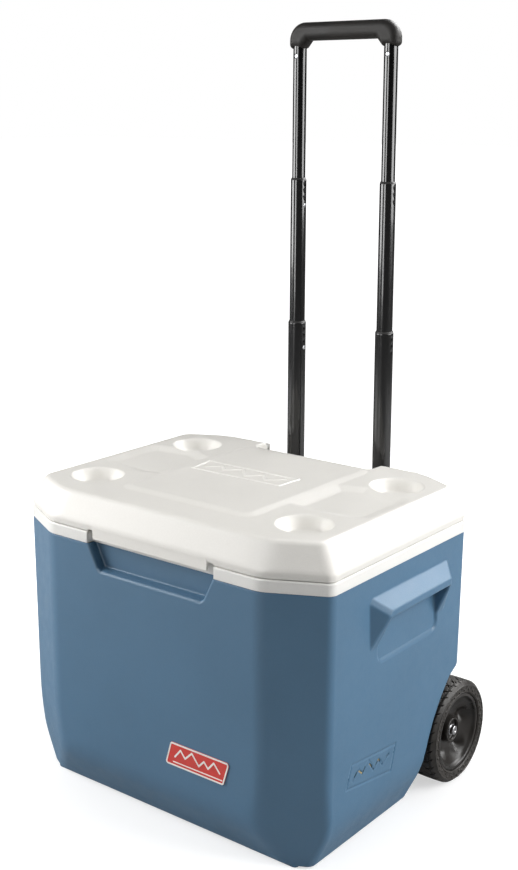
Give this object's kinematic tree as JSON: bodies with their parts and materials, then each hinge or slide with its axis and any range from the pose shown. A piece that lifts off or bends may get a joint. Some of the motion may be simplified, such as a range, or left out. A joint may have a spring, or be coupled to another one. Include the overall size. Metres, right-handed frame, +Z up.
{
  "type": "wheeled cooler",
  "caption": "Insulated ice box with a hinged lid, moulded side handles, two wheels and a telescoping tow handle.",
  "frame": {"origin": "middle of the whole object's footprint, on the ground", "axes": "+X along the long side to the right end, +Y to the back where the tow handle stands, +Z up"},
  "size_m": [0.58, 0.4643, 1.1043],
  "materials": {
    "blue_plastic": "satin",
    "white_plastic": "satin",
    "foam": "matte",
    "badge_red": "gloss",
    "black_rubber": "matte",
    "zinc_steel": "satin",
    "black_plastic": "matte",
    "black_tube": "gloss",
    "wheel_plastic": "satin",
    "tyre_plastic": "matte"
  },
  "bodies": {
    "cooler_body": {"outer_shell": "blue_plastic", "body_foam": "foam", "inner_liner": "white_plastic", "front_badge": "badge_red", "drain_spout": "white_plastic", "drain_gasket": "black_rubber", "drain_nut": "white_plastic", "axle": "zinc_steel", "axle_sleeve": "black_plastic", "axle_washers": "zinc_steel", "axle_caps": "zinc_steel", "hinge_brackets": "white_plastic", "hinge_pins": "zinc_steel", "hinge_bracket_screws": "zinc_steel", "handle_upper_bracket": "black_plastic", "handle_lower_bracket": "black_plastic", "handle_bracket_screws": "zinc_steel", "guide_sleeve_left": "black_tube", "guide_sleeve_right": "black_tube", "sleeve_top_bushes": "black_plastic", "sleeve_end_plugs": "black_plastic"},
    "lid": {"lid_top": "white_plastic", "lid_foam": "foam", "lid_underpan": "white_plastic", "hinge_leaves": "white_plastic", "hinge_leaf_screws": "zinc_steel"},
    "wheel_left": {"wheel_rim_left": "wheel_plastic", "tyre_left": "tyre_plastic", "wheel_bush_left": "black_plastic"},
    "wheel_right": {"wheel_rim_right": "wheel_plastic", "tyre_right": "tyre_plastic", "wheel_bush_right": "black_plastic"},
    "tow_stage_lower": {"lower_tube_left": "black_tube", "lower_tube_right": "black_tube", "lower_tube_collars": "black_plastic", "lower_tube_feet": "black_plastic"},
    "tow_stage_middle": {"middle_tube_left": "black_tube", "middle_tube_right": "black_tube", "middle_tube_collars": "black_plastic", "middle_tube_feet": "black_plastic"},
    "tow_stage_upper": {"upper_tube_left": "black_tube", "upper_tube_right": "black_tube", "upper_tube_feet": "black_plastic", "tow_grip": "black_plastic", "grip_plugs": "black_plastic", "grip_rivets": "zinc_steel"},
    "lower_button_left": {"lock_button_lower_left": "zinc_steel"},
    "lower_button_right": {"lock_button_lower_right": "zinc_steel"},
    "middle_button_left": {"lock_button_middle_left": "zinc_steel"},
    "middle_button_right": {"lock_button_middle_right": "zinc_steel"},
    "drain_cap_body": {"drain_cap": "white_plastic"}
  },
  "joints": [
    {"name": "lid_hinge", "type": "hinge", "parent": "cooler_body", "child": "lid", "pos_m": [0, 0.1825, 0.4385], "axis": [-1, 0, 0], "range_deg": [0, 90]},
    {"name": "wheel_left_spin", "type": "hinge", "parent": "cooler_body", "child": "wheel_left", "pos_m": [-0.249, 0.1445, 0.0762], "axis": [1, 0, 0], "continuous": true},
    {"name": "wheel_right_spin", "type": "hinge", "parent": "cooler_body", "child": "wheel_right", "pos_m": [0.249, 0.1445, 0.0762], "axis": [1, 0, 0], "continuous": true},
    {"name": "tow_lower_slide", "type": "slide", "parent": "cooler_body", "child": "tow_stage_lower", "axis": [0, 0, 1], "range_m": [-0.2435, 0]},
    {"name": "tow_middle_slide", "type": "slide", "parent": "tow_stage_lower", "child": "tow_stage_middle", "axis": [0, 0, 1], "range_m": [-0.221, 0]},
    {"name": "tow_upper_slide", "type": "slide", "parent": "tow_stage_middle", "child": "tow_stage_upper", "axis": [0, 0, 1], "range_m": [-0.1935, 0]},
    {"name": "lower_button_left_press", "type": "slide", "parent": "tow_stage_lower", "child": "lower_button_left", "axis": [-1, 0, 0], "range_m": [0, 0.001], "stiffness_N_per_m": 600, "springref_m": -0.0005},
    {"name": "lower_button_right_press", "type": "slide", "parent": "tow_stage_lower", "child": "lower_button_right", "axis": [1, 0, 0], "range_m": [0, 0.001], "stiffness_N_per_m": 600, "springref_m": -0.0005},
    {"name": "middle_button_left_press", "type": "slide", "parent": "tow_stage_middle", "child": "middle_button_left", "axis": [-1, 0, 0], "range_m": [0, 0.001], "stiffness_N_per_m": 600, "springref_m": -0.0005},
    {"name": "middle_button_right_press", "type": "slide", "parent": "tow_stage_middle", "child": "middle_button_right", "axis": [1, 0, 0], "range_m": [0, 0.001], "stiffness_N_per_m": 600, "springref_m": -0.0005},
    {"name": "drain_cap_pull", "type": "slide", "parent": "cooler_body", "child": "drain_cap_body", "axis": [-1, 0, 0], "range_m": [0, 0.03]}
  ]
}
